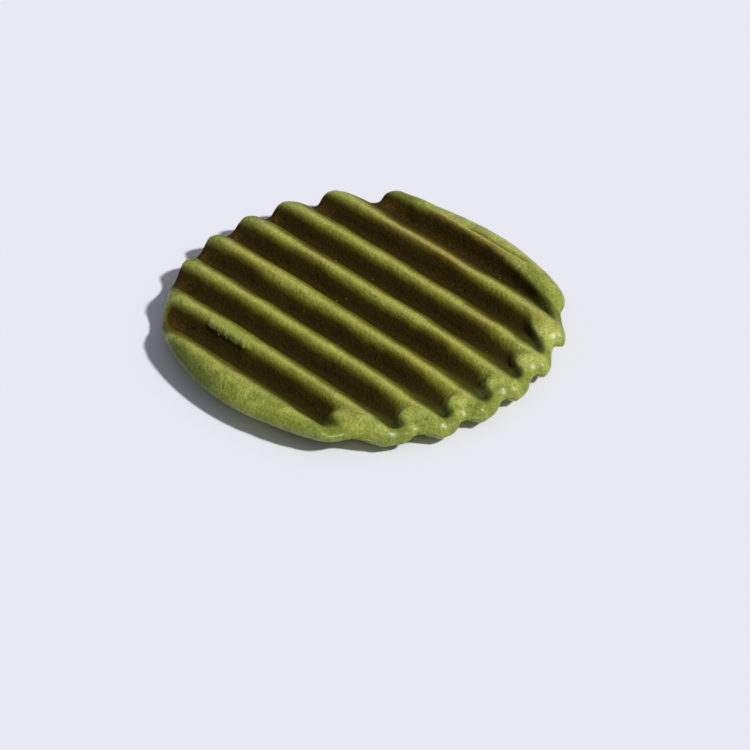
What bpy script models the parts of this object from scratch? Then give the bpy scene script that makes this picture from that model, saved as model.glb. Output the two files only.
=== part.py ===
"""A round green tea waffle cookie, pressed between two ridged plates.

The cookie is one piece. Eight straight ridges stand out on both faces, joined by
thin webs. +X runs across the ridges, +Y along them, +Z is up. The front, at -Y,
has a raised lip that closes each groove. At the back the grooves run out open.
Sizes are in metres.
"""

import math

import bmesh
import bpy

# Plan outline
WIDTH_TO_PLUS_X = 0.0297     # across the ridges, from the middle groove to the edge
WIDTH_TO_MINUS_X = 0.0292
HALF_LENGTH = 0.0294         # along the ridges, between two ridge ends
OUTLINE_POWER = 2.1          # 2 is an ellipse, more gives fuller corners

# Ridges, the same on both faces
RIDGE_COUNT = 8
RIDGE_PITCH = 0.0073
LAST_RIDGE_SHIFT = 0.0006    # the ridge at +X stands a little apart
TOP_HEIGHT = 0.0052          # a crest above the surface that the cookie lies on
TOP_DEPTH = 0.00235          # a top groove below its crests
WEB_THICKNESS = 0.00135      # between a top groove and the groove under it
CREST_FULLNESS = 1.05        # 1 is a plain cosine, more gives wider crests

# How far each ridge runs past the outline, from the ridge at -X to the one at +X
REACH_FRONT = (0.0017, 0.0007, 0.0006, 0.0003, 0.0002, 0.0007, 0.0006, 0.0013)
REACH_BACK = (0.0008, 0.0001, 0.0002, 0.0004, 0.0006, 0.0010, 0.0021, 0.0038)
END_REACH_SHARPNESS = 1.5    # past the last crest, more draws the edge in faster
REACH_START = 0.6            # share of the radius at which the reach sets in
SHORT_CHORD = 0.35           # share of the half length below which the reach fades out

# Rim
RIM_WIDTH = 0.0033           # the rounded edge, seen from above
RIM_FULLNESS = 2.2           # 2 is an elliptic edge, more is blunter
TAPER_START = 0.62           # share of the radius at which the faces start to close
TAPER_END = 0.97
CREST_DROP_FRONT = 0.0004
CREST_DROP_BACK = 0.0002
SHOULDER_DROP = 0.0006       # outside the first and last crest
BOTTOM_RISE = 0.0016         # the underside's crests at the rim
LIP_HEIGHT_FRONT = 0.0046
LIP_HEIGHT_BACK = 0.0031
LIP_REACH = 0.94             # share of the radius at which the lip is full
LIP_BLEND_LENGTH = 0.016     # from the front lip to the back one, along Y
LIP_SLOPE = 0.075            # how fast the lip falls towards the middle
LIP_CURVE = 1.5              # 1 is a straight slope, more starts it gently
LIP_SOFTNESS = 0.00035       # rounding where a groove floor meets its lip
RESTING_FLAT = 0.00012       # pressed off the underside's crests

# Mesh
SEGMENTS_AROUND = 52
RINGS = 112
RING_EVENNESS = 0.6          # 1 spaces the rings evenly, less packs them at the sides

DOUGH_COLOR = (0.235, 0.255, 0.055, 1.0)
DOUGH_ROUGHNESS = 0.62


def smooth_step(value):
    """0 below 0, 1 above 1, with a smooth rise between."""
    t = min(max(value, 0.0), 1.0)
    return t * t * (3.0 - 2.0 * t)


def smooth_max(a, b, softness):
    """The larger of two heights, rounded where they cross."""
    return 0.5 * (a + b + math.sqrt((a - b) ** 2 + softness ** 2))


def crest_positions():
    """X of each ridge's crest."""
    middle = (RIDGE_COUNT - 1) / 2
    crests = [(i - middle) * RIDGE_PITCH for i in range(RIDGE_COUNT)]
    crests[-1] += LAST_RIDGE_SHIFT
    return crests


CRESTS = crest_positions()


def groove_share(x):
    """0 on a crest and outside the outer crests, 1 in the middle of a groove."""
    for low, high in zip(CRESTS, CRESTS[1:]):
        if low < x < high:
            turn = 2.0 * math.pi * (x - low) / (high - low)
            return ((1.0 - math.cos(turn)) / 2.0) ** CREST_FULLNESS
    return 0.0


def width_share(x):
    """0 in the middle groove, 1 at the edge on the side where x is."""
    return abs(x) / (WIDTH_TO_PLUS_X if x > 0.0 else WIDTH_TO_MINUS_X)


def half_chord(x):
    """Half the outline's length along Y at x, without the ridges' reach."""
    share = min(width_share(x), 1.0)
    return HALF_LENGTH * (1.0 - share ** OUTLINE_POWER) ** (1.0 / OUTLINE_POWER)


def ridge_reach(x, reaches):
    """How far the edge stands out past the outline at x, highest at a crest."""
    total = 0.0
    for crest, reach in zip(CRESTS, reaches):
        offset = abs(x - crest) / RIDGE_PITCH
        if x > CRESTS[-1]:
            offset *= END_REACH_SHARPNESS
        if offset < 0.5:
            total += reach * (1.0 + math.cos(2.0 * math.pi * offset)) / 2.0
    return total * smooth_step(half_chord(x) / (SHORT_CHORD * HALF_LENGTH))


def rim_share(x, y):
    """0 in the middle of the cookie, 1 on its outline."""
    across = width_share(x) ** OUTLINE_POWER
    along = abs(y / HALF_LENGTH) ** OUTLINE_POWER
    return min((across + along) ** (1.0 / OUTLINE_POWER), 1.0)


def taper(rim):
    """0 where the faces are level, 1 near the edge, where they have closed in."""
    return smooth_step((rim - TAPER_START) / (TAPER_END - TAPER_START))


def back_share(y):
    """0 towards the front lip, 1 towards the open back ends of the grooves."""
    return smooth_step(0.5 + y / LIP_BLEND_LENGTH)


def crest_height(x, y, rim):
    """Top of the ridges, lower towards the rim and outside the outer crests."""
    back = back_share(y)
    drop = CREST_DROP_BACK * back + CREST_DROP_FRONT * (1.0 - back)
    past_plus = max(x - CRESTS[-1], 0.0) / (WIDTH_TO_PLUS_X - CRESTS[-1])
    past_minus = max(CRESTS[0] - x, 0.0) / (WIDTH_TO_MINUS_X + CRESTS[0])
    outside = max(past_plus, past_minus)
    return TOP_HEIGHT - drop * taper(rim) - SHOULDER_DROP * outside ** 2


def lip_height(y, rim):
    """A bowl that rises towards the rim and closes the ends of the grooves."""
    back = back_share(y)
    full = LIP_HEIGHT_BACK * back + LIP_HEIGHT_FRONT * (1.0 - back)
    return full - LIP_SLOPE * max(LIP_REACH - rim, 0.0) ** LIP_CURVE


def top_height(x, y, rim, groove):
    """Top face at a point, for a given share of groove."""
    ridge = crest_height(x, y, rim) - TOP_DEPTH * groove
    return smooth_max(ridge, lip_height(y, rim), LIP_SOFTNESS)


def bottom_height(x, y, rim, groove):
    """Underside: its crests under the top ones, its grooves a web below the top ones."""
    crest = BOTTOM_RISE * taper(rim)
    roof = top_height(x, y, rim, 1.0) - WEB_THICKNESS
    height = crest + max(roof - crest, 0.0) * groove
    return crest + max(height - crest - RESTING_FLAT, 0.0)


def edge_rounding(rim):
    """1 over the faces, falling to 0 on the outline, where top and bottom meet."""
    start = 1.0 - RIM_WIDTH / HALF_LENGTH
    across_rim = min(max((rim - start) / (1.0 - start), 0.0), 1.0)
    return (1.0 - across_rim ** RIM_FULLNESS) ** (1.0 / RIM_FULLNESS)


def shape_point(sphere_point):
    """Carry a point of a unit sphere, with its poles on Z, to the cookie's surface."""
    latitude = math.asin(min(max(sphere_point.z, -1.0), 1.0)) / (math.pi / 2.0)
    ring_radius = math.hypot(sphere_point.x, sphere_point.y)
    sideways = sphere_point.x / ring_radius if ring_radius > 1e-6 else 0.0

    packed = math.sin(math.pi * latitude / 2.0)
    side_width = WIDTH_TO_PLUS_X if latitude > 0.0 else WIDTH_TO_MINUS_X
    x = side_width * (RING_EVENNESS * latitude + (1.0 - RING_EVENNESS) * packed)
    chord_y = half_chord(x) * sideways
    rim = rim_share(x, chord_y)
    reaches = REACH_BACK if sideways > 0.0 else REACH_FRONT
    outwards = smooth_step((rim - REACH_START) / (1.0 - REACH_START))
    y = chord_y + math.copysign(outwards * ridge_reach(x, reaches), sideways)

    groove = groove_share(x)
    top = top_height(x, chord_y, rim, groove)
    bottom = bottom_height(x, chord_y, rim, groove)
    middle = (top + bottom) / 2.0
    face = top if sphere_point.y > 0.0 else bottom
    z = middle + edge_rounding(rim) * (face - middle)
    return x, y, z


def centre_on_origin(mesh):
    """Put the middle of the outline over the origin and the lowest point on Z = 0."""
    lows = [min(v.co[axis] for v in mesh.verts) for axis in range(3)]
    highs = [max(v.co[axis] for v in mesh.verts) for axis in range(3)]
    shift = (-(lows[0] + highs[0]) / 2.0, -(lows[1] + highs[1]) / 2.0, -lows[2])
    bmesh.ops.translate(mesh, verts=mesh.verts, vec=shift)


def dough_material():
    """Green tea dough, baked and faintly glossy."""
    material = bpy.data.materials.new("green_tea_dough")
    material.use_nodes = True
    shader = material.node_tree.nodes["Principled BSDF"]
    shader.inputs["Base Color"].default_value = DOUGH_COLOR
    shader.inputs["Roughness"].default_value = DOUGH_ROUGHNESS
    shader.inputs["Metallic"].default_value = 0.0
    return material


def make_cookie(collection):
    """The whole cookie, shaped from a sphere whose poles become the two sides."""
    shape = bmesh.new()
    bmesh.ops.create_uvsphere(
        shape, u_segments=SEGMENTS_AROUND, v_segments=RINGS, radius=1.0)
    for vertex in shape.verts:
        vertex.co = shape_point(vertex.co)
    centre_on_origin(shape)
    bmesh.ops.recalc_face_normals(shape, faces=shape.faces)
    mesh = bpy.data.meshes.new("cookie")
    shape.to_mesh(mesh)
    shape.free()
    mesh.shade_smooth()
    mesh.materials.append(dough_material())
    cookie = bpy.data.objects.new("cookie", mesh)
    collection.objects.link(cookie)
    return cookie


def main():
    for old in list(bpy.data.objects):
        bpy.data.objects.remove(old, do_unlink=True)
    collection = bpy.data.collections.new("waffle_cookie")
    bpy.context.scene.collection.children.link(collection)
    make_cookie(collection)


main()
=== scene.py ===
"""A round green tea waffle cookie: its baked surface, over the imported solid, and its studio.

The cookie is shaped by Geometry Nodes from a sphere whose poles become its two sides.
+X runs across the ridges, +Y along them towards the open ends of the grooves, +Z is up.
Sizes are in metres, apart from those that length() and the table BAKED take in mm.
Places on the cookie are given in the frame of its middle groove.
"""

import math
from functools import partial
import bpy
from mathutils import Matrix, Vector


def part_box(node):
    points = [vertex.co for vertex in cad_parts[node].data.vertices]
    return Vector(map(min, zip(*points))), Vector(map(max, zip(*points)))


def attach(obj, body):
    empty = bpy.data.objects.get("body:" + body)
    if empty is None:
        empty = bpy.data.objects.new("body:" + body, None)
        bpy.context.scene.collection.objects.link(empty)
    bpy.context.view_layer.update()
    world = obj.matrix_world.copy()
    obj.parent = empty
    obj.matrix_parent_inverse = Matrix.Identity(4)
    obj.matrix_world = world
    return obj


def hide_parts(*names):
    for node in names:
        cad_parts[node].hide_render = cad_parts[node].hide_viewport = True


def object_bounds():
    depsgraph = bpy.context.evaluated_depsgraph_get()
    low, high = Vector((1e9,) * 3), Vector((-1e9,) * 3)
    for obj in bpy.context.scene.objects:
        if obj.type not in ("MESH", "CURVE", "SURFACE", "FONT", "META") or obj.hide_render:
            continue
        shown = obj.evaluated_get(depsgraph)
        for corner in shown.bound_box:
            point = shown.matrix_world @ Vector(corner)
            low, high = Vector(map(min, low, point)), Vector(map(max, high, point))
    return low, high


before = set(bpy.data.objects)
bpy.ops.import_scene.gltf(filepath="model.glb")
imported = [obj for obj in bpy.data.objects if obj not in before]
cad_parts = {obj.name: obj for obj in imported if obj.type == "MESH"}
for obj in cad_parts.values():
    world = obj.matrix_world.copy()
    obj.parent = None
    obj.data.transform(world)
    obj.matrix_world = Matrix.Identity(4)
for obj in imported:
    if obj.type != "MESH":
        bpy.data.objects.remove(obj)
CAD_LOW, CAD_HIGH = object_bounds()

from types import SimpleNamespace

import bpy
from mathutils import Matrix, Vector

bl_info = {
    "name": "Green tea waffle cookie",
    "version": (1, 0, 0),
    "blender": (4, 5, 0),
    "location": "3D View > Sidebar > Cookie",
    "description": "Makes a ridged green tea waffle cookie with its crumbs and a pale studio",
    "category": "Add Mesh",
}

BODY = "root"
NODE = "cookie"
COOKIE_PIECE = "waffle_cookie"
RIDGES = 8
COOKIE_LOW, COOKIE_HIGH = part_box(NODE)
COOKIE_SIZE = COOKIE_HIGH - COOKIE_LOW
MM = 0.001


# --- Settings that a user would change ---

def share(name, description, default, precision=3, **options):
    """A plain number property, or one number for each ridge from -X to +X."""
    kind = bpy.props.FloatProperty
    if isinstance(default, tuple):
        kind = bpy.props.FloatVectorProperty
        options["size"] = len(default)
    return kind(name=name, description=description, default=default, precision=precision, **options)


def length(name, description, millimetres):
    """The same for sizes, which Blender holds in metres."""
    several = isinstance(millimetres, tuple)
    metres = tuple(value * MM for value in millimetres) if several else millimetres * MM
    return share(name, description, metres, precision=5, unit="LENGTH")


def angle(name, description, degrees):
    """The same for angles."""
    return share(name, description, math.radians(degrees), subtype="ANGLE")


def color(name, description, default):
    """The same for colours, which are linear."""
    return share(name, description, default, subtype="COLOR", min=0.0, max=1.0)


class CookieShape(bpy.types.PropertyGroup):
    """Sizes of the ridged cookie."""

    width_plus: length("Width to +X", "Middle groove to the +X edge", COOKIE_SIZE.x / 2 / MM + 0.25)
    width_minus: length("Width to -X", "Middle groove to the -X edge", COOKIE_SIZE.x / 2 / MM - 0.25)
    half_length: length("Half length", "Along the ridges, between two ridge ends",
                        COOKIE_SIZE.y / 2 / MM - 0.35)
    outline_power: share("Outline power", "2 is an ellipse, more gives fuller corners", 2.1)
    ridge_pitch: length("Ridge pitch", "From one crest to the next", 7.3)
    last_ridge_shift: length("Last ridge shift", "How far apart the ridge at +X stands", 0.4)
    top_height: length("Top height", "Crests above the resting surface", COOKIE_SIZE.z / MM - 0.08)
    top_depth: length("Groove depth", "A top groove below its crests", 2.35)
    web_thickness: length("Web thickness", "Between a top groove and the one under it", 1.35)
    crest_fullness: share("Crest fullness", "1 is a plain cosine, more gives wider crests", 1.05)
    front_share: share("Front share", "Front half's length against the back one's", 0.97)
    rim_width: length("Rim width", "The rounded edge, seen from above", 3.3)
    rim_front: length("Front rim width", "The same at the front", 3.8)
    rim_side: length("Side rim width", "The same outside the first ridge", 4.8)
    rim_fullness: share("Rim fullness", "2 is an elliptic edge, more is blunter", 2.2)
    level_front: share("Front edge level", "Where the faces meet, as a share of the height", 0.42)
    taper_start: share("Taper start", "Share of the radius where the faces close in", 0.62)
    taper_end: share("Taper end", "Share of the radius where they have closed", 0.97)
    crest_drop_front: length("Front crest drop", "Crests at the front rim, below the top", 1.05)
    crest_drop_back: length("Back crest drop", "Crests at the back rim, below the top", 0.2)
    dip_start: share("Dip start", "Share of the half length where front crests dip", 0.38)
    shoulder_drop: length("Shoulder drop", "Outside the first and last crest", 0.6)
    bottom_rise: length("Bottom rise", "The underside's crests at the back rim", 1.6)
    rise_front: length("Front bottom rise", "The underside's crests at the front rim", 0.7)
    lip_front: length("Front lip", "Height of the lip that closes the grooves", 3.9)
    lip_web: length("Lip web", "Thickness of the front lip between two ridges", 1.7)
    lip_back: length("Back lip", "Height of the back edge between two ridges", 2.9)
    last_lip: length("Last lip", "Further height of the last groove's back lip", 0.4)
    lip_reach: share("Lip reach", "Share of the radius where the lip is full", 0.965)
    lip_slope: length("Lip slope", "How fast the back lip falls inwards", 85.0)
    slope_front: length("Front lip slope", "How fast the front lip falls inwards", 140.0)
    lip_curve: share("Lip curve", "1 is a straight slope, more starts it gently", 1.5)
    lip_blend: length("Lip blend", "From the front lip to the back edge, along Y", 16.0)
    lip_softness: length("Lip softness", "Rounding where a groove meets its lip", 0.3)
    tip_softness: length("Tip softness", "The same at the front", 1.0)
    resting_flat: length("Resting flat", "Pressed off the underside's crests", 0.12)
    notch_depth: length("Notch depth", "The front outline between two ridge ends", 1.1)
    notch_bend: share("Notch bend", "More than 1 moves a notch towards +X", 2.0)
    first_notch_bend: share("First notch bend", "The same for the first notch", 1.2)
    notch_drop: length("Notch drop", "How far the front edge sinks in a notch", 0.1)
    knob_height: length("Knob height", "Bulge beside each front ridge end", 0.42)
    knob_side: share("Knob side", "Pitches from a crest to its bulge, to -X",
                     (0.0, 0.1, 0.18, 0.22, 0.27, 0.27, 0.3, 0.0))
    knob_rim: share("Knob place", "Share of the radius where it lies, 2 for none",
                    (2.0, 0.885, 0.875, 0.875, 0.885, 0.91, 0.945, 2.0))
    tip_start: share("Tip start", "Share of the radius where a groove narrows", 0.8)
    tip_end: share("Tip end", "Share of the radius where it is narrowest", 0.92)
    tip_width: share("Tip width", "Width of a groove's front end, in pitches", 0.65)
    tip_shelf: share("Tip shelf", "Share of the depth on the slope beside it", 0.26)
    groove_bend: share("Groove bend", "More than 1 makes a groove's +X wall steeper", 1.25)
    tip_bend: share("Tip bend", "The same at a groove's front end", 1.35)
    wander: length("Wander", "How far the ridges stray sideways", 0.16)
    wander_length: length("Wander length", "From one stray to the next", 8.0)
    reach_start: share("Reach start", "Share of the radius where ridge ends set in", 0.6)
    short_chord: share("Short chord", "Share of the half length where ridge ends fade", 0.35)
    end_sharpness: share("End sharpness", "Draws the edge in past the last crest", 1.5)
    reach_front: length("Front reach", "How far each ridge runs out at the front",
                        (1.3, 0.1, 0.7, 0.4, 0.3, 0.7, 1.2, 1.9))
    reach_back: length("Back reach", "How far each ridge runs out at the back",
                       (0.6, -0.5, 0.1, 0.4, 0.6, 1.0, 2.1, 3.8))
    crest_drift: length("Crest drift", "How far each crest lies off its even place",
                        (0.0, 0.2, 0.2, 0.1, 0.15, 0.05, 0.1, -0.1))


class CookieRelief(bpy.types.PropertyGroup):
    """Fine unevenness of the baked surface."""

    lump_height: length("Lump height", "Broad unevenness", 0.22)
    lump_size: length("Lump size", "Width of the broad unevenness", 2.6)
    grain_height: length("Grain height", "Fine roughness of the crust", 0.05)
    grain_size: length("Grain size", "Width of the fine roughness", 0.7)
    pit_depth: length("Pit depth", "Small pits in the rim", 0.13)
    pit_spacing: length("Pit spacing", "From one pit to the next", 1.25)
    chip_depth: length("Chip depth", "Bite out of the second ridge's flank", 0.12)
    crease_depth: length("Crease depth", "Fine crease beside the last crest", 0.28)


class CookieFinish(bpy.types.PropertyGroup):
    """Colours of the baked dough."""

    crest: color("Crest", "Pale line along each crest", (0.440, 0.420, 0.105))
    fresh: color("Fresh green", "Lighter green of the rim and crests", (0.410, 0.440, 0.075))
    # Painted highlight: a pale colour where the bulges beside the front ridge ends catch the key
    # light.
    painted_highlight: color("Highlight", "Glossy bulges beside the front ridge ends", (0.520, 0.550, 0.140))
    broken: color("Broken green", "Freshly broken edge of the chip", (0.290, 0.330, 0.068))
    # Darker green mottling, and also painted shade on the front rim's lower wall.
    deep_green_and_wall_shade: color("Deep green", "Darker green mottling", (0.180, 0.225, 0.020))
    straw: color("Straw", "Yellower stretches of the ridges", (0.300, 0.275, 0.038))
    olive: color("Olive", "Flanks that start to brown", (0.140, 0.126, 0.010))
    # Front flanks and groove ends, and also painted shade on the outer -X edge, more towards the
    # back.
    moss_and_edge_shade: color("Moss", "Flanks and groove ends at the front", (0.105, 0.128, 0.010))
    shade: color("Shade", "Lower +X flanks at the front", (0.040, 0.052, 0.006))
    golden: color("Golden", "Upper flanks of the stretches baked most", (0.135, 0.088, 0.012))
    umber: color("Umber", "Lower flanks", (0.040, 0.031, 0.0035))
    floor: color("Groove floor", "Browned groove floors", (0.028, 0.019, 0.0018))
    ember: color("Ember", "Reddish specks of the groove floors", (0.080, 0.034, 0.007))
    toast: color("Toast", "Toasted stretches of the crests", (0.400, 0.310, 0.092))
    crumb: color("Crumb", "Loose crumbs", (0.170, 0.190, 0.065))


class CookieCrumbs(bpy.types.PropertyGroup):
    """Loose crumbs on the cookie."""

    crumb_count: share("Crumb count", "How many crumbs lie about", 26.0)
    crumb_size: length("Crumb size", "Width of a large crumb", 0.42)
    crumb_reach: length("Crumb reach", "How far from the middle the crumbs lie", 24.0)
    chip_crumbs: share("Chip crumbs", "How many large crumbs lie in the chip", 3.0)


class CookieStage(bpy.types.PropertyGroup):
    """Camera, light and floor."""

    elevation: angle("Camera elevation", "Angle of the view above the floor", 37.5)
    azimuth: angle("Camera azimuth", "Turn of the view about Z, 0 looks along +Y", -46.4)
    roll: angle("Camera roll", "Turn of the picture", 2.1)
    floor_color: color("Floor colour", "Pale surface under the cookie", (0.82, 0.815, 0.87))
    sun_strength: share("Sun strength", "Strength of the key light", 3.35)
    fill_strength: share("Fill strength", "Strength of the light from all round", 0.27)


# --- Nodes, and arithmetic with their sockets ---

def feed(node, inputs):
    """Link fields or sockets to a node's inputs, or set plain values, by name or by number."""
    for key, value in inputs.items():
        if isinstance(value, Field):
            value = value.socket
        if isinstance(value, bpy.types.NodeSocket):
            node.id_data.links.new(value, node.inputs[key])
        else:
            node.inputs[key].default_value = value


def add(tree, kind, inputs=None, **settings):
    """A new node, with its settings set and its inputs fed."""
    node = tree.nodes.new(kind)
    for name, value in settings.items():
        setattr(node, name, value)
    feed(node, inputs or {})
    return node


def math_method(operation, swapped=False):
    """A method of Field that adds one Math node."""
    def method(self, *others):
        values = (*others, self) if swapped else (self, *others)
        node = add(self.tree, "ShaderNodeMath", dict(enumerate(values)), operation=operation)
        return Field(node.outputs[0])
    return method


class Field:
    """A number that changes over a surface. Python's arithmetic signs add Math nodes."""

    __add__ = math_method("ADD")
    __radd__ = math_method("ADD", swapped=True)
    __sub__ = math_method("SUBTRACT")
    __rsub__ = math_method("SUBTRACT", swapped=True)
    __mul__ = math_method("MULTIPLY")
    __rmul__ = math_method("MULTIPLY", swapped=True)
    __truediv__ = math_method("DIVIDE")
    __rtruediv__ = math_method("DIVIDE", swapped=True)
    __pow__ = math_method("POWER")
    __gt__ = math_method("GREATER_THAN")
    __abs__ = math_method("ABSOLUTE")
    at_least = math_method("MAXIMUM")
    at_most = math_method("MINIMUM")
    sine = math_method("SINE")
    cosine = math_method("COSINE")
    arcsine = math_method("ARCSINE")
    arctangent = math_method("ARCTAN2")
    root = math_method("SQRT")
    exponent = math_method("EXPONENT")
    floor = math_method("FLOOR")
    rounded = math_method("ROUND")
    sign = math_method("SIGN")

    def __init__(self, socket):
        self.socket = socket
        self.tree = socket.id_data

    def within(self, low, high):
        """The number, but no less than low and no more than high."""
        return self.at_least(low).at_most(high)

    def rise(self, low, high):
        """0 up to low, 1 from high on, with a smooth rise between."""
        node = add(self.tree, "ShaderNodeMapRange",
                   {"Value": self, "From Min": low, "From Max": high},
                   interpolation_type="SMOOTHSTEP")
        return Field(node.outputs["Result"])

    def fall(self, low, high):
        """1 up to low, 0 from high on."""
        return 1.0 - self.rise(low, high)


def between(share_of_b, a, b):
    """From a to b."""
    return a + (b - a) * share_of_b


def bell(distance, width):
    """1 at distance 0, falling smoothly to nearly 0 past the width."""
    ratio = distance / width
    return (ratio * ratio * -1.0).exponent()


def noise(vector, size, seed, detail=2.0, roughness=0.5):
    """Noise from -1 to 1 with features of about that size."""
    inputs = {"Vector": vector, "W": seed, "Scale": 1.0 / size,
              "Detail": detail, "Roughness": roughness}
    node = add(vector.id_data, "ShaderNodeTexNoise", inputs, noise_dimensions="4D")
    return Field(node.outputs["Fac"]) * 2.0 - 1.0


def vector_parts(vector):
    """The X, Y and Z fields of a vector socket."""
    node = add(vector.id_data, "ShaderNodeSeparateXYZ", {0: vector})
    return [Field(output) for output in node.outputs]


def vector_from(*parts):
    """A vector socket from a field and two more fields or numbers."""
    return add(parts[0].tree, "ShaderNodeCombineXYZ", dict(enumerate(parts))).outputs[0]


def vector_math(operation, *vectors):
    """A Vector Math node's vector output. The first vector is a socket."""
    inputs = dict(enumerate(vectors))
    return add(vectors[0].id_data, "ShaderNodeVectorMath", inputs, operation=operation).outputs[0]


def scaled(vector, scale):
    """A vector times a number."""
    inputs = {0: vector, "Scale": scale}
    return add(vector.id_data, "ShaderNodeVectorMath", inputs, operation="SCALE").outputs[0]


# --- Geometry Nodes helpers ---

def numbers(*groups):
    """Each of the settings' numbers: its property's identifier, its input's name, its value."""
    for settings in groups:
        for identifier in settings.__annotations__:
            prop = settings.bl_rna.properties[identifier]
            value = getattr(settings, identifier)
            if prop.is_array:
                for i, number in enumerate(value, 1):
                    yield identifier, f"{prop.name} {i}", number
            else:
                yield identifier, prop.name, value


def new_geometry_tree(name, *groups):
    """A geometry tree with a named input for each number of the settings.

    The second result holds those inputs as fields, named as the properties are, in a
    list where a property has several.
    """
    tree = bpy.data.node_groups.new(name, "GeometryNodeTree")
    tree.interface.new_socket("Geometry", in_out="OUTPUT", socket_type="NodeSocketGeometry")
    for _, input_name, _ in numbers(*groups):
        tree.interface.new_socket(input_name, in_out="INPUT", socket_type="NodeSocketFloat")
    given = tree.nodes.new("NodeGroupInput").outputs
    found = {}
    for identifier, input_name, _ in numbers(*groups):
        found.setdefault(identifier, []).append(Field(given[input_name]))
    fields = {key: several if several[1:] else several[0] for key, several in found.items()}
    return tree, SimpleNamespace(**fields)


def set_inputs(modifier, *groups):
    """Set the modifier's inputs by their sockets' identifiers."""
    sockets = {s.name: s.identifier for s in modifier.node_group.interface.items_tree
               if s.in_out == "INPUT"}
    for _, name, value in numbers(*groups):
        modifier[sockets[name]] = value


def pick(index, fields):
    """The field at an index, by an Index Switch."""
    node = add(index.tree, "GeometryNodeIndexSwitch", data_type="FLOAT")
    while len(node.index_switch_items) < len(fields):
        node.index_switch_items.new()
    feed(node, dict(enumerate((index, *fields))))
    return Field(node.outputs[0])


def point_position(tree):
    """Where each point is."""
    return tree.nodes.new("GeometryNodeInputPosition").outputs[0]


def store(geometry, name, field):
    """Store a field as a named attribute of the points."""
    inputs = {"Geometry": geometry, "Name": name, "Value": field}
    return add(geometry.id_data, "GeometryNodeStoreNamedAttribute", inputs,
               data_type="FLOAT", domain="POINT").outputs["Geometry"]


def stored(tree, name):
    """A named attribute as a field."""
    node = add(tree, "GeometryNodeInputNamedAttribute", {"Name": name}, data_type="FLOAT")
    return Field(node.outputs["Attribute"])


def move_points(geometry, **place):
    """Set Position, to a Position or by an Offset."""
    inputs = {"Geometry": geometry, **place}
    return add(geometry.id_data, "GeometryNodeSetPosition", inputs).outputs["Geometry"]


def realized(geometry):
    """The geometry with its instances made real."""
    inputs = {"Geometry": geometry}
    return add(geometry.id_data, "GeometryNodeRealizeInstances", inputs).outputs["Geometry"]


def finish_tree(geometry, material):
    """Realize the instances, set the material and link the result out."""
    inputs = {"Geometry": realized(geometry), "Material": material}
    paint = add(geometry.id_data, "GeometryNodeSetMaterial", inputs)
    add(geometry.id_data, "NodeGroupOutput", {0: paint.outputs["Geometry"]})


def new_object(name, data):
    """An object of that data, in the scene."""
    made = bpy.data.objects.new(name, data)
    bpy.context.scene.collection.objects.link(made)
    return made


def mesh_from_tree(name, tree, *groups):
    """Run a tree on an empty mesh and keep the result as a plain mesh object."""
    maker = new_object(name + "_maker", bpy.data.meshes.new(name + "_maker"))
    modifier = maker.modifiers.new("shape", "NODES")
    modifier.node_group = tree
    set_inputs(modifier, *groups)
    evaluated = maker.evaluated_get(bpy.context.evaluated_depsgraph_get())
    mesh = bpy.data.meshes.new_from_object(evaluated)
    if not mesh.polygons:
        raise RuntimeError(f"the node tree of {name} made no faces")
    mesh.name = name
    mesh.shade_smooth()
    bpy.data.objects.remove(maker)
    return new_object(name, mesh)


# --- Shape of the cookie ---

# What is stored at each point for the finish
STORED = ("groove_depth", "offset", "far", "side", "front_end", "knob", "rim", "back", "top_face",
          "baked", "toast", "flat", "chip", "plan_x", "plan_y")
RINGS = 232
SEGMENTS = 410
TOP_SHARE = 0.6  # of the segments, on the top face
LAST = RIDGES - 1.0  # the last crest's place. The first one's is 0.

# Where something sets in or fades, and where it has, as shares of the radius
NOTCH_FULL = 0.95  # underside grooves as steep as the notches
LIP_WEB_RISE = (0.8, 1.0)
SAG_RISE = (0.87, 1.0)
FRONT_FLOOR_FADE = (0.92, 0.97)
BACK_FLOOR_FADE = (0.955, 0.985)
UNDERSIDE_FADE = (0.86, 0.96)
GREEN_EDGE_RISE = (0.955, 0.995)
LUMP_RISE = (0.7, 0.95)
PIT_RISE = (0.35, 0.9)
CALM_RISE = (0.8, 0.97)  # of the width, as the next one
POLE_RISE = (0.93, 0.995)

# The same as places, in pitches from the first crest
SIDE_RIM_FADE = (-0.6, 0.4)
THICK_FRONT_RISE = (-0.3, 1.0)
SIDE_FADE = (-0.1, 0.1)
FIRST_NOTCH_FADE = (0.8, 1.2)
FIRST_GROOVE_FADE = (0.9, 1.1)
LAST_NOTCH_FADE = (5.8, 6.3)
LAST_LIP_RISE = (5.8, 6.4)

FAR_WALL_FADE = (0.45, 0.62)  # from one crest to the next, on the groove's -X side
REACH_RISE = 0.45  # of the half length, over which a ridge end's reach sets in
KNOB_WIDTH = 0.22  # in pitches
KNOB_LENGTH = 0.052  # as a share of the radius
CHIP_RIDGE = 1.0  # place of the second crest
CHIP_MIDDLE = 9.7 * MM  # along Y
CHIP_HALF_LENGTH = 4.8 * MM
CHIP_EDGE = 1.2 * MM  # from the crest to the jagged edge
CHIP_WIDTH = (0.9 * MM, 1.5 * MM)  # from the edge to where the bite fades, and has
JAG_SIZE = 1.6 * MM
JAG_ALONG = 1.5 * MM
JAG_ACROSS = 0.25 * MM
CREASE_X = 26.2 * MM
CREASE_ENDS = (-10.0 * MM, 4.6 * MM)
CREASE_FADE = 2.0 * MM
CREASE_WIDTH = 0.3 * MM
CREASE_BEND = 0.25 * MM
CREASE_BEND_LENGTH = 5.0 * MM
PIT_RADIUS = 0.14  # of the smallest pits, in pit spacings, and twice that of the largest
PIT_CORE = 0.35  # of its radius, to where a pit is at its deepest
GREEN_FADE = (0.15, 0.5)  # of a groove's depth, down to where pits are shallower
PITTED_SHARE = 0.55  # of the places that could hold a pit
BAKED_FADE = 0.3  # share of a baked stretch over which it sets in, and fades
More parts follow.
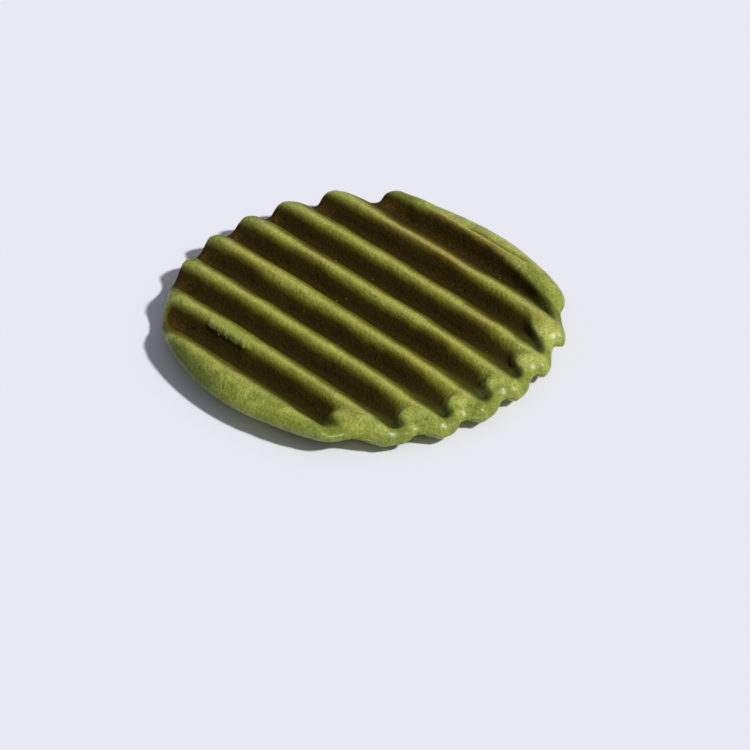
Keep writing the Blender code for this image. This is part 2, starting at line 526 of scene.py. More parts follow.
BAKED = (  # ridge, ends along Y in mm, how much its flanks and its crest brown
    (8, -9.0, 14.0, 1.3, 0.0),
    (8, 3.0, 12.0, 0.0, 0.8),
    (7, -10.0, 20.0, 1.0, 1.0),
    (6, -18.0, -8.0, 0.75, 0.8),
    (5, 9.0, 20.0, 0.7, 0.8),
    (5, -16.0, -8.0, 0.5, 0.2),
    (5, -6.0, 5.0, -0.3, 0.0),
    (4, 2.0, 20.0, -0.7, 0.0),
    (4, -18.0, -6.0, 0.3, 0.1),
    (3, 11.0, 18.0, 0.3, 0.5),
    (3, -16.0, -4.0, 0.3, 0.1),
    (2, -2.0, 14.0, -0.35, 0.0),
    (2, -10.0, -2.0, 0.2, 0.1),
)


def crest_place(s, x):
    """X in pitches: 0 on the first crest, 7 on the last, drifts taken out."""
    last_but_one = (RIDGES / 2 - 1.5) * s.ridge_pitch
    last_share = (x - last_but_one) / (s.ridge_pitch + s.last_ridge_shift)
    even = x - s.last_ridge_shift * last_share.within(0.0, 1.0)
    place = even / s.ridge_pitch + (RIDGES - 1) / 2
    nearest = nearest_ridge(place)
    drift = pick(nearest, s.crest_drift) / s.ridge_pitch
    return place - drift * ridge_share(place, nearest)


def nearest_ridge(place):
    """Index of the nearest ridge."""
    return place.within(0.0, LAST).rounded()


def ridge_share(place, nearest, end_sharpness=1.0):
    """1 on a crest, 0 in the middle of a groove, and sharper past the last crest."""
    offset = abs(place - nearest) * between(place > LAST, 1.0, end_sharpness)
    return ((offset.at_most(0.5) * math.tau).cosine() + 1.0) / 2.0


def groove_share(s, place, front_end, wide_bend):
    """0 on a crest and outside the outer crests, 1 where a groove is deepest.

    Towards its front end a groove narrows from the +X side, down to a gentle slope.
    """
    across = groove_place(place)
    wide = hollow_share(s, across ** wide_bend)
    narrowed = (across / between(front_end, 1.0, s.tip_width)).at_most(1.0)
    bend = between(front_end, wide_bend, s.tip_bend)
    narrow = hollow_share(s, narrowed ** bend)
    shelf = wide * s.tip_shelf
    return (narrow ** 3.0 + shelf ** 3.0) ** (1.0 / 3.0)


def groove_place(place):
    """0 on the crest at a groove's -X side, rising to 1 at the next crest."""
    inside = place.within(0.0, LAST)
    return inside - inside.floor()


def hollow_share(s, turned):
    """0 at 0 and 1, and 1 halfway."""
    return ((1.0 - (turned * math.tau).cosine()) / 2.0) ** s.crest_fullness


def width_share(s, x):
    """0 in the middle groove, 1 at the edge on the side where x is."""
    return abs(x) / between(x > 0.0, s.width_minus, s.width_plus)


def outline_half_length(s, width):
    """Half the outline's length along Y, without the ridges' reach."""
    power = s.outline_power
    return s.half_length * (1.0 - width.at_most(1.0) ** power) ** (1.0 / power)


def rim_share(s, width, y):
    """0 in the middle of the cookie, 1 on its outline."""
    power = s.outline_power
    along = abs(y / s.half_length) ** power
    return ((width ** power + along) ** (1.0 / power)).at_most(1.0)


def front_dip(s, y):
    """How far the crests dip towards the front, while the groove floors stay level."""
    return s.crest_drop_front * (y / s.half_length * -1.0).rise(s.dip_start, 1.0)


def crest_height(s, x, dip, rim, back):
    """Top of the ridges, lower towards the rim and outside the outer crests."""
    outer = s.ridge_pitch * ((RIDGES - 1) / 2)
    past = (abs(x) - outer).at_least(0.0) / (s.width_minus - outer)
    at_back = s.crest_drop_back * rim.rise(s.taper_start, s.taper_end) * back
    return s.top_height - at_back - dip - s.shoulder_drop * past * past


def lip_height(s, rim, back):
    """A bowl that rises towards the rim and closes the ends of the grooves."""
    full = between(back, s.lip_front, s.lip_back)
    inwards = (s.lip_reach - rim).at_least(0.0)
    return full - between(back, s.slope_front, s.lip_slope) * inwards ** s.lip_curve


def softer_larger(a, b, softness):
    """The larger of two heights, rounded where they cross."""
    gap = a - b
    return (a + b + (gap * gap + softness * softness).root()) * 0.5


def edge_rounding(s, place, rim, back):
    """1 over the faces, falling to 0 on the outline, where top and bottom meet."""
    ends = between(back, s.rim_front, s.rim_width)
    start = 1.0 - between(place.rise(*SIDE_RIM_FADE), s.rim_side, ends) / s.half_length
    across = ((rim - start) / (1.0 - start)).within(0.0, 1.0)
    power = s.rim_fullness
    return (1.0 - across ** power) ** (1.0 / power)


def knob_share(s, place, rim):
    """1 on the bulges beside the inner ridges' ends, at the front and at the back."""
    across = groove_place(place)
    ridge = (place - across).rounded()
    total = 0.0
    for step in (0, 1):
        nearby = (ridge + step).within(0.0, LAST)
        sideways = bell(across - step + pick(nearby, s.knob_side), KNOB_WIDTH)
        total = sideways * bell(rim - pick(nearby, s.knob_rim), KNOB_LENGTH) + total
    return total


def sphere_turns(x, y, z):
    """Latitude from -1 to 1, and how far round its ring a point lies, from 0 to 1."""
    latitude = z.within(-1.0, 1.0).arcsine() / (math.pi / 2)
    turn = y.arctangent(x) / math.tau
    return latitude, turn - (turn + 1e-6).floor()


def spread(s, even):
    """From -1 to 1, even over the face and then even round the rounded rim."""
    face = 1.0 - s.rim_width / s.half_length
    switch = face / (face + (1.0 - face) * (math.pi / 2))
    step = abs(even)
    round_rim = (step - switch).at_least(0.0) / (1.0 - switch) * (math.pi / 2)
    outwards = face * (step / switch).at_most(1.0) + (1.0 - face) * round_rim.sine()
    return outwards * even.sign()


def baked_shares(place, nearest, y):
    """How much more than the rest a ridge's flanks and its crest are browned."""
    flanks = 0.0
    crests = 0.0
    for ridge, start, end, flank, crest in BAKED:
        on_ridge = 1.0 - abs(nearest - (ridge - 1.0)).at_most(1.0)
        start *= MM
        end *= MM
        fade = (end - start) * BAKED_FADE
        stretch = on_ridge * y.rise(start, start + fade) * y.fall(end - fade, end)
        flanks = stretch * flank + flanks
        crests = stretch * crest + crests
    return flanks * (1.0 - (place > LAST)), crests


def chip_shares(s, place, y):
    """1 on the flat left beside the second crest, and 1 in the bite below its jagged edge."""
    plan = vector_from(place * s.ridge_pitch, y, 0.0)
    ragged = noise(plan, JAG_SIZE, 3.7, roughness=0.6)
    along = abs(y - CHIP_MIDDLE + ragged * JAG_ALONG)
    stretch = along.fall(CHIP_HALF_LENGTH * 0.75, CHIP_HALF_LENGTH)
    edge = (CHIP_RIDGE - place) * s.ridge_pitch - CHIP_EDGE + ragged * JAG_ACROSS
    near = stretch * (place > (CHIP_RIDGE - 0.5)) * place.fall(CHIP_RIDGE, CHIP_RIDGE + 0.1)
    flat = near * edge.fall(-0.1 * MM, 0.1 * MM)
    bite = near * edge.rise(0.0, 0.15 * MM) * edge.fall(*CHIP_WIDTH)
    return flat, bite


def plan_fields(tree, s):
    """Where the sphere's points lie in plan, and the shares that go with a place."""
    latitude, turn = sphere_turns(*vector_parts(point_position(tree)))
    p = SimpleNamespace()
    p.top_face = 1.0 - (turn > TOP_SHARE)
    bottom_turn = (1.0 - turn) / (1.0 - TOP_SHARE)
    sideways = spread(s, 1.0 - 2.0 * between(p.top_face, bottom_turn, turn / TOP_SHARE))
    p.plan_x = between(latitude > 0.0, s.width_minus, s.width_plus) * spread(s, latitude)
    p.place = crest_place(s, p.plan_x)
    p.nearest = nearest_ridge(p.place)
    p.width = width_share(s, p.plan_x)
    half_length = outline_half_length(s, p.width)
    p.chord_y = half_length * sideways
    p.rim = rim_share(s, p.width, p.chord_y)
    p.back = (p.chord_y / s.lip_blend).rise(-0.5, 0.5)
    p.front = 1.0 - p.back
    p.front_end = p.rim.rise(s.tip_start, s.tip_end) * p.front

    at_back = sideways > 0.0
    p.between_crests = (p.place > 0.0) * (1.0 - (p.place > LAST))
    notch_bend = between(p.place.rise(*FIRST_NOTCH_FADE), s.first_notch_bend, s.notch_bend)
    notch = hollow_share(s, groove_place(p.place) ** notch_bend)
    last_notch = 1.0 - p.place.rise(*LAST_NOTCH_FADE) * 0.8
    p.notch = notch * (1.0 - at_back) * p.between_crests * last_notch
    reach = between(at_back, pick(p.nearest, s.reach_front), pick(p.nearest, s.reach_back))
    reach = reach * ridge_share(p.place, p.nearest, s.end_sharpness)
    p.reach_fade = (half_length / s.half_length).rise(0.0, s.short_chord)
    outwards = p.rim.rise(s.reach_start, 1.0) * abs(sideways).rise(0.0, REACH_RISE)
    bulge = (reach - s.notch_depth * p.notch) * p.reach_fade * outwards
    p.plan_y = (p.chord_y + bulge * (at_back * 2.0 - 1.0)) * between(at_back, s.front_share, 1.0)
    return p


def add_grooves(s, p):
    """Add the share of groove, the chip's flat and bite, and the bulges."""
    p.flat, p.chip = chip_shares(s, p.place, p.chord_y)
    notched = p.rim.rise(s.reach_start, NOTCH_FULL) * p.front * (1.0 - p.top_face)
    wide_bend = between(notched, s.groove_bend, s.notch_bend)
    groove = groove_share(s, p.place, p.front_end * p.top_face, wide_bend)
    p.groove = groove * (1.0 - p.flat * p.top_face)
    p.knob = knob_share(s, p.place, p.rim) * p.front


def add_heights(s, p):
    """Add Z, and how far a point has fallen from the crests, 1 on a groove's floor."""
    dip = front_dip(s, p.chord_y)
    crest = crest_height(s, p.plan_x, dip, p.rim, p.back)
    depth = s.top_depth - dip
    lip = lip_height(s, p.rim, p.back) + s.last_lip * p.place.rise(*LAST_LIP_RISE) * p.back
    softness = between(p.back, s.tip_softness, s.lip_softness)
    top = softer_larger(crest - depth * p.groove, lip, softness) + p.knob * s.knob_height
    thick = p.front * p.place.rise(*THICK_FRONT_RISE)
    rise = between(thick, s.bottom_rise, s.rise_front)
    low_crest = rise * p.rim.rise(s.taper_start, s.taper_end)
    web = between(p.rim.rise(*LIP_WEB_RISE) * p.front, s.web_thickness, s.lip_web)
    roof = softer_larger(crest - depth, lip, softness) - web
    hollow = (roof - low_crest).at_least(0.0)
    bottom = low_crest + (hollow * p.groove - s.resting_flat).at_least(0.0)
    middle = between(between(thick, 0.5, s.level_front), bottom, top)
    face = between(p.top_face, bottom, top)
    sag = s.notch_drop * p.notch * p.rim.rise(*SAG_RISE) * p.front * p.reach_fade
    p.z = middle + edge_rounding(s, p.place, p.rim, p.back) * (face - middle) - sag

    front_floor = p.groove * p.front_end * p.front * p.rim.fall(*FRONT_FLOOR_FADE)
    back_floor = p.groove * p.back * p.rim.fall(*BACK_FLOOR_FADE)
    top_fall = ((crest - top) / s.top_depth).at_least((front_floor + back_floor) * 0.85)
    green_edge = p.rim.rise(*GREEN_EDGE_RISE) * p.place.fall(*FIRST_GROOVE_FADE)
    top_fall = top_fall * (1.0 - green_edge * 0.75)
    bottom_fall = (bottom - low_crest) / s.top_depth * 1.4 * p.rim.fall(*UNDERSIDE_FADE)
    p.groove_depth = between(p.top_face, bottom_fall, top_fall)


def shaped_cookie(tree, geometry, s):
    """Carry the sphere's points to the cookie's surface, and store what the finish reads."""
    p = plan_fields(tree, s)
    add_grooves(s, p)
    add_heights(s, p)
    p.offset = abs(p.place - p.nearest)
    p.far = groove_place(p.place).fall(*FAR_WALL_FADE) * p.between_crests
    p.side = p.place.fall(*SIDE_FADE)
    p.baked, p.toast = baked_shares(p.place, p.nearest, p.plan_y)
    for name in STORED:
        geometry = store(geometry, name, getattr(p, name))
    plan = vector_from(p.plan_x, p.plan_y, 0.0)
    stray = noise(plan, s.wander_length, 9.4, detail=1.0) * s.wander * 2.0
    x = p.plan_x + stray * p.width.fall(*CALM_RISE)
    return move_points(geometry, Position=vector_from(x, p.plan_y, p.z))


def crease_share(position, read):
    """1 along the fine crease beside the last crest."""
    wander = noise(position, CREASE_BEND_LENGTH, 8.1) * CREASE_BEND
    start, end = CREASE_ENDS
    y = read("plan_y")
    along = y.rise(start, start + CREASE_FADE) * y.fall(end - CREASE_FADE, end)
    line = bell(read("plan_x") - CREASE_X + wander, CREASE_WIDTH)
    return line * along * read("top_face")


def pit_share(position, spacing):
    """1 in small round pits, which are left out in about half of the places."""
    inputs = {"Vector": position, "Scale": 1.0 / spacing}
    cells = add(position.id_data, "ShaderNodeTexVoronoi", inputs)
    first, second, _ = vector_parts(cells.outputs["Color"])
    size = second * PIT_RADIUS + PIT_RADIUS
    pits = Field(cells.outputs["Distance"]).fall(size * PIT_CORE, size)
    return pits * (first > (1.0 - PITTED_SHARE))


def rough_cookie(tree, geometry, s):
    """Lumps, grain, pits, the chip and the crease, along the surface's normal."""
    position = point_position(tree)
    normal = tree.nodes.new("GeometryNodeInputNormal").outputs[0]
    read = partial(stored, tree)
    rim = read("rim")
    near_pole = (abs(read("plan_x")) / s.width_minus).rise(*POLE_RISE)
    green = 1.0 - read("groove_depth").rise(*GREEN_FADE) * 0.6
    crease = crease_share(position, read)

    lumps = noise(position, s.lump_size, 1.3, detail=1.0)
    grain = noise(position, s.grain_size, 5.9, detail=3.0, roughness=0.6)
    pits = pit_share(position, s.pit_spacing) * green * rim.rise(*PIT_RISE)
    height = lumps * s.lump_height * between(rim.rise(*LUMP_RISE), 0.6, 1.0)
    height = height + grain * s.grain_height - pits * s.pit_depth
    height = height * (1.0 - near_pole * 0.8)
    height = height - read("chip") * read("top_face") * s.chip_depth - crease * s.crease_depth
    geometry = store(geometry, "crease", crease)
    return move_points(geometry, Offset=scaled(normal, height))


def fitted_cookie(geometry):
    """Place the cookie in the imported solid's box, against its +Y side."""
    box = add(geometry.id_data, "GeometryNodeBoundBox", {"Geometry": geometry})
    low_x, _, low_z = vector_parts(box.outputs["Min"])
    high_x, high_y, _ = vector_parts(box.outputs["Max"])
    middle = (COOKIE_LOW + COOKIE_HIGH) / 2
    shift = vector_from(middle.x - (low_x + high_x) / 2.0,
                        COOKIE_HIGH.y - high_y, COOKIE_LOW.z - low_z)
    return kept_inside(move_points(geometry, Offset=shift))


def kept_inside(geometry):
    """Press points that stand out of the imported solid's box back to its sides."""
    inside = vector_math("MINIMUM", point_position(geometry.id_data), COOKIE_HIGH)
    inside = vector_math("MAXIMUM", inside, COOKIE_LOW)
    return move_points(geometry, Position=inside)


def cookie_tree(shape, relief, material):
    """The whole cookie as a node tree."""
    tree, s = new_geometry_tree("Ridged cookie", shape, relief)
    sphere = add(tree, "GeometryNodeMeshUVSphere",
                 {"Segments": SEGMENTS, "Rings": RINGS, "Radius": 1.0})
    geometry = shaped_cookie(tree, sphere.outputs["Mesh"], s)
    geometry = rough_cookie(tree, geometry, s)
    finish_tree(fitted_cookie(geometry), material)
    return tree


# --- Crumbs ---

CRUMB_SEED = 11
CHIP_CRUMB_X = -19.6 * MM  # in the chip's hollow
CHIP_CRUMB_STRAY = 0.12 * MM
LARGE_CRUMBS = (0.75, 1.0)  # smallest and largest, as shares of the crumb size
SMALL_CRUMBS = (0.25, 0.55)
CRUMB_DETAIL = 3  # subdivisions


def random_number(tree, low, high, seed):
    """A random number for each point. Inputs 2 and 3 are the limits of a plain number."""
    inputs = {2: low, 3: high, "Seed": seed}
    return Field(add(tree, "FunctionNodeRandomValue", inputs, data_type="FLOAT").outputs[1])


def dropped_points(tree, count, x, y, target):
    """Points above the cookie, dropped on it along -Z. Those that miss it go."""
    start = vector_from(x, y, COOKIE_HIGH.z + MM)
    points = add(tree, "GeometryNodePoints", {"Count": count, "Position": start}).outputs[0]
    drop = add(tree, "GeometryNodeRaycast", {
        "Target Geometry": target, "Ray Direction": (0.0, 0.0, -1.0),
        "Ray Length": COOKIE_SIZE.z + 2.0 * MM})
    missed = 1.0 - Field(drop.outputs["Is Hit"])
    kept = add(tree, "GeometryNodeDeleteGeometry", {"Geometry": points, "Selection": missed})
    return move_points(kept.outputs["Geometry"], Position=drop.outputs["Hit Position"])


def crumb_shape(tree, width):
    """One angular crumb of that width."""
    ball = add(tree, "GeometryNodeMeshIcoSphere",
               {"Subdivisions": CRUMB_DETAIL, "Radius": width / 2.0})
    position = point_position(tree)
    dents = noise(position, width * 0.6, 2.2) * 0.5 + 1.0
    return move_points(ball.outputs["Mesh"], Position=scaled(position, dents))


def crumbs_tree(settings, cookie, material):
    """Crumbs in the chip, and a scatter of smaller ones over the cookie."""
    tree, s = new_geometry_tree("Crumbs", settings)
    target = add(tree, "GeometryNodeObjectInfo", {"Object": cookie}).outputs["Geometry"]
    index = Field(tree.nodes.new("GeometryNodeInputIndex").outputs[0])

    step = (index + 0.5) / s.chip_crumbs - 0.5
    stray = random_number(tree, -CHIP_CRUMB_STRAY, CHIP_CRUMB_STRAY, CRUMB_SEED)
    chip_y = step * CHIP_HALF_LENGTH + CHIP_MIDDLE + MM
    large = dropped_points(tree, s.chip_crumbs, stray + CHIP_CRUMB_X, chip_y, target)
    turn = random_number(tree, 0.0, math.tau, CRUMB_SEED + 1)
    radius = random_number(tree, 0.0, 1.0, CRUMB_SEED + 2).root() * s.crumb_reach
    small = dropped_points(tree, s.crumb_count, radius * turn.cosine(), radius * turn.sine(), target)

    join = tree.nodes.new("GeometryNodeJoinGeometry")
    for points, sizes in ((large, LARGE_CRUMBS), (small, SMALL_CRUMBS)):
        lean = random_number(tree, 0.0, math.tau, CRUMB_SEED + 3)
        copies = add(tree, "GeometryNodeInstanceOnPoints", {
            "Points": points, "Instance": crumb_shape(tree, s.crumb_size),
            "Rotation": vector_from(lean, lean * 2.0, lean * 3.0),
            "Scale": random_number(tree, *sizes, CRUMB_SEED + 4)})
        tree.links.new(copies.outputs[0], join.inputs[0])
    finish_tree(kept_inside(realized(join.outputs[0])), material)
    return tree


# --- Finish ---

GRAIN_GROUP = "Crumb grain"
MIX_COLORS = (6, 7)  # the Mix node's colour inputs, by number
MIX_RESULT = 2
DOUGH_GRAIN = 0.42 * MM
DOUGH_MOTTLE = 2.2 * MM
DOUGH_SPECULAR = 0.06
COAT_ROUGHNESS = 0.4
BUMP_DEPTH = 0.25 * MM
BUMP_STRENGTH = 0.6
CRUMB_GRAIN = 0.12 * MM
CRUMB_MOTTLE = 0.5 * MM
DRY_SPECULAR = 0.1
FLOOR_ROUGHNESS = 0.9
SHADED_EDGE_SPAN = (-6.0 * MM, 6.0 * MM)  # along Y, where painted shade on the -X edge sets in


def crumb_grain_group():
    """Fine crumbly grain, broad mottling and coloured specks of baked dough, built once."""
    made = bpy.data.node_groups.get(GRAIN_GROUP)
    if made is not None:
        return made
    group = bpy.data.node_groups.new(GRAIN_GROUP, "ShaderNodeTree")
    kinds = {"Vector": "NodeSocketVector", "Specks": "NodeSocketColor"}
    for side, names in (("INPUT", ("Vector", "Grain size", "Mottle size")),
                        ("OUTPUT", ("Grain", "Mottle", "Patches", "Specks"))):
        for name in names:
            kind = kinds.get(name, "NodeSocketFloat")
            group.interface.new_socket(name, in_out=side, socket_type=kind)
    given = group.nodes.new("NodeGroupInput").outputs
    vector = given["Vector"]
    grain_size = Field(given["Grain size"])
    mottle_size = Field(given["Mottle size"])
    specks = add(group, "ShaderNodeTexNoise",
                 {"Vector": vector, "Scale": 1.4 / grain_size, "Detail": 1.0})
    add(group, "NodeGroupOutput", {
        "Grain": noise(vector, grain_size, 2.0, detail=4.0, roughness=0.65),
        "Mottle": noise(vector, mottle_size, 4.0, detail=3.0, roughness=0.6),
        "Patches": noise(vector, mottle_size * 3.2, 6.0, detail=1.0),
        "Specks": specks.outputs["Color"]})
    return group


def placed_grain(tree, grain_size, mottle_size):
    """Fields of the crumb grain in a material: grain, mottle, patches and specks."""
    place = tree.nodes.new("ShaderNodeTexCoord").outputs["Object"]
    inputs = {"Vector": place, "Grain size": grain_size, "Mottle size": mottle_size}
    node = add(tree, "ShaderNodeGroup", inputs, node_tree=crumb_grain_group())
    return [Field(output) for output in node.outputs]


def attribute(tree, name):
    """A named attribute of the piece as a field."""
    return Field(add(tree, "ShaderNodeAttribute", attribute_name=name).outputs["Fac"])


def blend_color(amount, *colors):
    """From one colour to another. Each is a socket or three numbers."""
    inputs = {0: amount}
    for number, value in zip(MIX_COLORS, colors):
        inputs[number] = value if isinstance(value, bpy.types.NodeSocket) else (*value, 1.0)
    return add(amount.tree, "ShaderNodeMix", inputs, data_type="RGBA").outputs[MIX_RESULT]


def painted(surface, layers):
    """A colour under layers of other colours, each with its own amount."""
    for amount, layer in layers:
        surface = blend_color(amount, surface, layer)
    return surface


def new_material(name, specular):
    """A material, its node tree and its Principled BSDF."""
    material = bpy.data.materials.new(name)
    material.use_nodes = True
    shader = material.node_tree.nodes["Principled BSDF"]
    feed(shader, {"Specular IOR Level": specular})
    return material, material.node_tree, shader


def browned_share(read, grain, mottle, patches):
    """0 on green dough, 1 on the browned groove floors.

    The -X flanks brown evenly downwards. The +X flanks are golden from close under the
    crest, and brown only near the bottom.
    """
    depth = read("groove_depth").within(0.0, 1.0)
    offset = read("offset")
    golden = offset.rise(0.0, 0.19) * 0.28
    sheltered = (golden + depth * 0.15 + depth ** 8.0 * 0.5) * (1.0 - read("front_end") * 0.35)
    share_browned = between(read("far"), depth, sheltered)
    flank = depth.rise(0.01, 0.12) * (1.0 - depth.rise(0.75, 1.0) * 0.7)
    ragged = (grain * 0.04 + mottle * 0.13 + patches * 0.09) * flank
    baked = read("baked") * offset.rise(0.01, 0.07) * 0.13
    chipped = read("chip") * 0.1 - read("flat") * 0.5
    return share_browned + ragged + baked + chipped - read("knob") * 0.3


def dough_material(finish):
    """Baked green tea dough: green rim and crests, browned grooves."""
    material, tree, shader = new_material("green_tea_dough", DOUGH_SPECULAR)
    read = partial(attribute, tree)
    grain, mottle, patches, specks = placed_grain(tree, DOUGH_GRAIN, DOUGH_MOTTLE)
    browning = browned_share(read, grain, mottle, patches)
    rim = read("rim")
    offset = read("offset")
    baked = read("baked")
    front_end = read("front_end")
    front = 1.0 - read("back")

    on_rim = rim.rise(0.84, 0.93)
    crumbs = (grain * 0.25 + mottle * 1.1 + patches * 0.7 + 0.55).rise(0.0, 1.0)
    straw = (patches * 1.8 + mottle * 0.6 + 0.4).rise(0.0, 1.0) * (1.0 - on_rim)
    ragged_offset = abs(offset + mottle * 0.03) + grain * 0.04
    line = ragged_offset.fall(0.0, 0.085) * (1.0 - on_rim) * (mottle * 0.7 + 0.8)
    core = ragged_offset.fall(0.01, 0.055) * read("toast")
    # Painted shade on the outer band of the -X edge, stronger towards the back.
    side = read("side") * read("plan_y").rise(*SHADED_EDGE_SPAN)
    # Painted highlight: a pale tint on the outer side of each front bulge.
    painted_highlight_share = read("knob") * rim.rise(0.88, 0.93) * (grain * 0.5 + 1.0)
    sheltered = rim.rise(0.5, 0.82) * rim.fall(0.91, 0.96) * front
    shaded = offset.rise(0.03, 0.24) * read("far") * sheltered
    back_end = read("back") * rim.rise(0.8, 0.97)
    reddish = baked.at_least(0.0) * 0.25 + front_end * 0.5 + back_end * 0.5
    embers = (grain + mottle * 0.5 + reddish).rise(0.15, 0.8) * between(back_end, 0.5, 0.65)
    flank = blend_color(front_end, finish.olive, finish.moss_and_edge_shade)
    flank = blend_color(baked.rise(0.2, 1.0), flank, finish.golden)
    surface = painted(finish.deep_green_and_wall_shade, (
        (crumbs, finish.fresh),
        (straw * 0.8, finish.straw),
        (line, finish.crest),
        (core, finish.toast),
        (read("flat") * 0.85, finish.broken),
        (read("crease") * 0.9, finish.golden),
        (browning.rise(0.02, 0.3), flank),
        # painted shade on the outer band of the -X edge
        (side * rim.rise(0.9, 0.975), finish.moss_and_edge_shade),
        # painted shade: darker green on the front rim's lower wall
        (rim.rise(0.94, 1.0) * front * 0.6, finish.deep_green_and_wall_shade),
        (painted_highlight_share.within(0.0, 1.0) * 0.5, finish.painted_highlight),
        (shaded * 0.9, finish.shade),
        (browning.rise(0.2, 0.5), finish.umber),
        (browning.rise(0.45, 0.9), blend_color(embers, finish.floor, finish.ember)),
    ))
    bright = grain * (1.0 - read("flat") * 0.6) * 0.75 + 1.0
    green = browning.fall(0.05, 0.4)
    bump = add(tree, "ShaderNodeBump",
               {"Distance": BUMP_DEPTH, "Strength": BUMP_STRENGTH, "Height": grain})
    feed(shader, {
        "Base Color": speckled(surface, bright, specks, browning),
        "Coat Weight": green * between(rim.rise(0.7, 0.88), 0.05, 0.9) * (grain + 0.9),
        "Coat Roughness": COAT_ROUGHNESS,
        "Roughness": between(green, 0.8, 0.55) + grain * 0.08,
        "Normal": bump.outputs["Normal"]})
    return material


def speckled(surface, bright, specks, browning):
    """The surface's colour with fine specks in it, of many colours where it is browned."""
    doubled = vector_math("MULTIPLY_ADD", specks.socket, (2.0,) * 3, (0.0,) * 3)
    tinted = blend_color(between(browning.rise(0.3, 0.8), 0.12, 0.6), (1.0,) * 3, doubled)
    return vector_math("MULTIPLY", surface, scaled(tinted, bright))


def crumb_material(finish):
    """Dry pale crumbs, some of them browner and all of them grainy."""
    material, tree, shader = new_material("pale_crumbs", DRY_SPECULAR)
    grain, mottle, _, _ = placed_grain(tree, CRUMB_GRAIN, CRUMB_MOTTLE)
    browner = (mottle * 0.9 + 0.2).rise(0.0, 1.0)
    surface = blend_color(browner, finish.crumb, finish.olive)
    feed(shader, {"Base Color": scaled(surface, grain * 0.5 + 1.0), "Roughness": grain * 0.08 + 0.88})
    return material


def floor_material(tint):
    """Plain pale studio floor."""
    material, _, shader = new_material("pale_floor", DRY_SPECULAR)
    feed(shader, {"Base Color": (*tint, 1.0), "Roughness": FLOOR_ROUGHNESS})
    return material


# --- Stage ---

PICTURE_WIDTH = 750  # pixels, and the same in height
VIEW_CENTRE = Vector((0.0, 0.0, 2.9 * MM))
VIEW_CENTRE_PIXEL = (364.0, 318.0)  # where the cookie's middle stands in the picture
PIXELS_PER_METRE = 403.0 / (60.0 * MM)  # at the cookie's distance
FOCAL_PIXELS = 5000.0
SENSOR_WIDTH = 36.0
SUN_SIDE = (0.913, -0.409)  # in plan: to the right of the view, and towards it
SUN_ELEVATION = math.radians(46.0)
SUN_ANGLE = math.radians(6.0)
FLOOR_RADIUS = 2.0
FLOOR_SIDES = 96
FILL_COLOR = (0.87, 0.89, 1.0, 1.0)


def view_axes(stage):
    """The camera's right, up and forward directions."""
    turn, tilt, roll = stage.azimuth, stage.elevation, stage.roll
    forward = Vector((
        -math.sin(turn) * math.cos(tilt), math.cos(turn) * math.cos(tilt), -math.sin(tilt)))
    level = Vector((math.cos(turn), math.sin(turn), 0.0))
    upright = level.cross(forward)
    right = level * math.cos(roll) + upright * math.sin(roll)
    up = upright * math.cos(roll) - level * math.sin(roll)
    return right, up, forward


def make_camera(stage):
    """A long lens that frames the cookie as a photograph of it would."""
    right, up, forward = view_axes(stage)
    data = bpy.data.cameras.new("camera")
    data.sensor_width = SENSOR_WIDTH
    data.lens = FOCAL_PIXELS / PICTURE_WIDTH * SENSOR_WIDTH
    data.clip_start = 0.05
    data.clip_end = 20.0
    camera = new_object("camera", data)
    across, down = ((pixel - PICTURE_WIDTH / 2) / PIXELS_PER_METRE for pixel in VIEW_CENTRE_PIXEL)
    distance = FOCAL_PIXELS / PIXELS_PER_METRE
    place = VIEW_CENTRE - forward * distance - right * across + up * down
    axes = Matrix((right, up, -forward)).transposed().to_4x4()
    camera.matrix_world = Matrix.Translation(place) @ axes
    bpy.context.scene.camera = camera


def make_sun(stage):
    """The key light, from the right of the view and a little in front."""
    cosine, sine = math.cos(stage.azimuth), math.sin(stage.azimuth)
    flat = Vector((cosine, sine, 0.0)) * SUN_SIDE[0] + Vector((-sine, cosine, 0.0)) * SUN_SIDE[1]
    direction = flat * math.cos(SUN_ELEVATION) + Vector((0.0, 0.0, math.sin(SUN_ELEVATION)))
    data = bpy.data.lights.new("key_light", "SUN")
    data.energy = stage.sun_strength
    data.angle = SUN_ANGLE
    sun = new_object("key_light", data)
    sun.rotation_euler = direction.to_track_quat("Z", "Y").to_euler()


def make_world(stage):
    """Soft light from all round, with a pale backdrop where the camera sees past the floor."""
    world = bpy.data.worlds.new("studio")
    bpy.context.scene.world = world
    world.use_nodes = True
    tree = world.node_tree
    fill = tree.nodes["Background"]
    feed(fill, {"Color": FILL_COLOR, "Strength": stage.fill_strength})
    backdrop = add(tree, "ShaderNodeBackground", {"Color": (*stage.floor_color, 1.0)})
    rays = tree.nodes.new("ShaderNodeLightPath")
    mix = add(tree, "ShaderNodeMixShader", {
        0: rays.outputs["Is Camera Ray"], 1: fill.outputs[0], 2: backdrop.outputs[0]})
    feed(tree.nodes["World Output"], {"Surface": mix.outputs[0]})


def make_floor(stage):
    """A wide round floor at the height that the cookie rests on."""
    bpy.ops.mesh.primitive_circle_add(
        vertices=FLOOR_SIDES, radius=FLOOR_RADIUS, fill_type="NGON", location=(0.0, 0.0, CAD_LOW.z))
    floor = bpy.context.object
    floor.name = "floor"
    floor.data.materials.append(floor_material(stage.floor_color))


# --- Operators, panel and registration ---

class COOKIE_OT_bake(bpy.types.Operator):
    """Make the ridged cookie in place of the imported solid"""

    bl_idname = "cookie.bake"
    bl_label = "Ridged Cookie"

    def execute(self, context):
        scene = context.scene
        shape, relief = scene.cookie_shape, scene.cookie_relief
        tree = cookie_tree(shape, relief, dough_material(scene.cookie_finish))
        cookie = mesh_from_tree(COOKIE_PIECE, tree, shape, relief)
        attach(cookie, BODY)
        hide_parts(NODE)
        return {"FINISHED"}


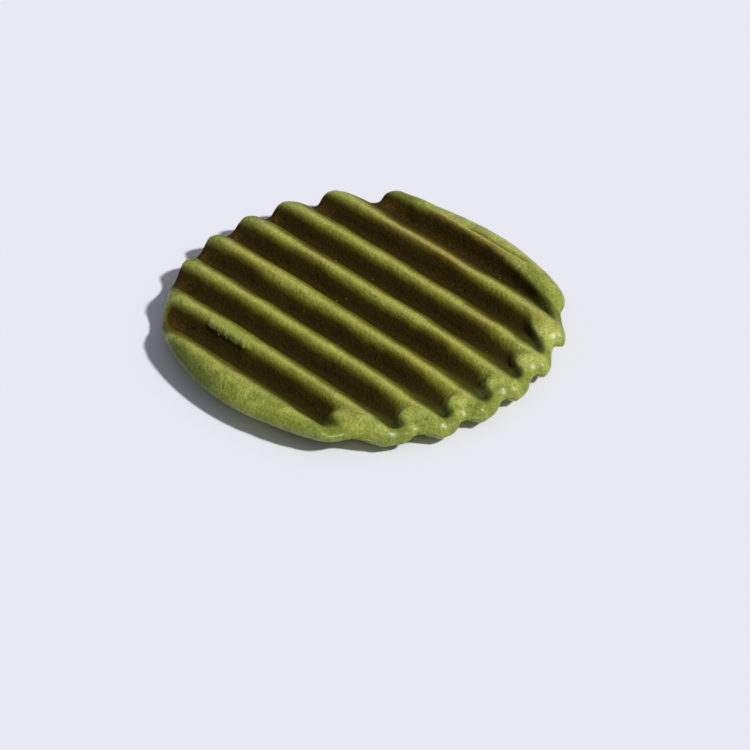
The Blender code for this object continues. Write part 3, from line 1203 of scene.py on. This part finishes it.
class COOKIE_OT_crumbs(bpy.types.Operator):
    """Drop loose crumbs on the ridged cookie"""

    bl_idname = "cookie.crumbs"
    bl_label = "Crumbs"

    def execute(self, context):
        scene = context.scene
        cookie = bpy.data.objects.get(COOKIE_PIECE)
        if cookie is None:
            raise RuntimeError("make the ridged cookie before its crumbs")
        tree = crumbs_tree(scene.cookie_crumbs, cookie, crumb_material(scene.cookie_finish))
        crumbs = mesh_from_tree("loose_crumbs", tree, scene.cookie_crumbs)
        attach(crumbs, BODY)
        return {"FINISHED"}


class COOKIE_OT_stage(bpy.types.Operator):
    """Make the floor, the light and the camera"""

    bl_idname = "cookie.stage"
    bl_label = "Studio"

    def execute(self, context):
        stage = context.scene.cookie_stage
        make_floor(stage)
        make_world(stage)
        make_sun(stage)
        make_camera(stage)
        context.scene.view_settings.view_transform = "Standard"
        return {"FINISHED"}


class COOKIE_PT_panel(bpy.types.Panel):
    """The cookie's makers and settings"""

    bl_idname = "COOKIE_PT_panel"
    bl_label = "Waffle Cookie"
    bl_space_type = "VIEW_3D"
    bl_region_type = "UI"
    bl_category = "Cookie"

    def draw(self, context):
        for operator in OPERATORS:
            self.layout.operator(operator.bl_idname)
        for name in SETTINGS:
            box = self.layout.box()
            settings = getattr(context.scene, name)
            for identifier in settings.__annotations__:
                box.prop(settings, identifier)


SETTINGS = {
    "cookie_shape": CookieShape,
    "cookie_relief": CookieRelief,
    "cookie_finish": CookieFinish,
    "cookie_crumbs": CookieCrumbs,
    "cookie_stage": CookieStage,
}
OPERATORS = (COOKIE_OT_stage, COOKIE_OT_bake, COOKIE_OT_crumbs)
CLASSES = (*SETTINGS.values(), *OPERATORS, COOKIE_PT_panel)


def register():
    for cls in CLASSES:
        bpy.utils.register_class(cls)
    for name, cls in SETTINGS.items():
        setattr(bpy.types.Scene, name, bpy.props.PointerProperty(type=cls))


def unregister():
    for name in SETTINGS:
        delattr(bpy.types.Scene, name)
    for cls in reversed(CLASSES):
        bpy.utils.unregister_class(cls)


def main():
    register()
    bpy.ops.cookie.stage()
    bpy.ops.cookie.bake()
    bpy.ops.cookie.crumbs()


if __name__ == "__main__":
    main()
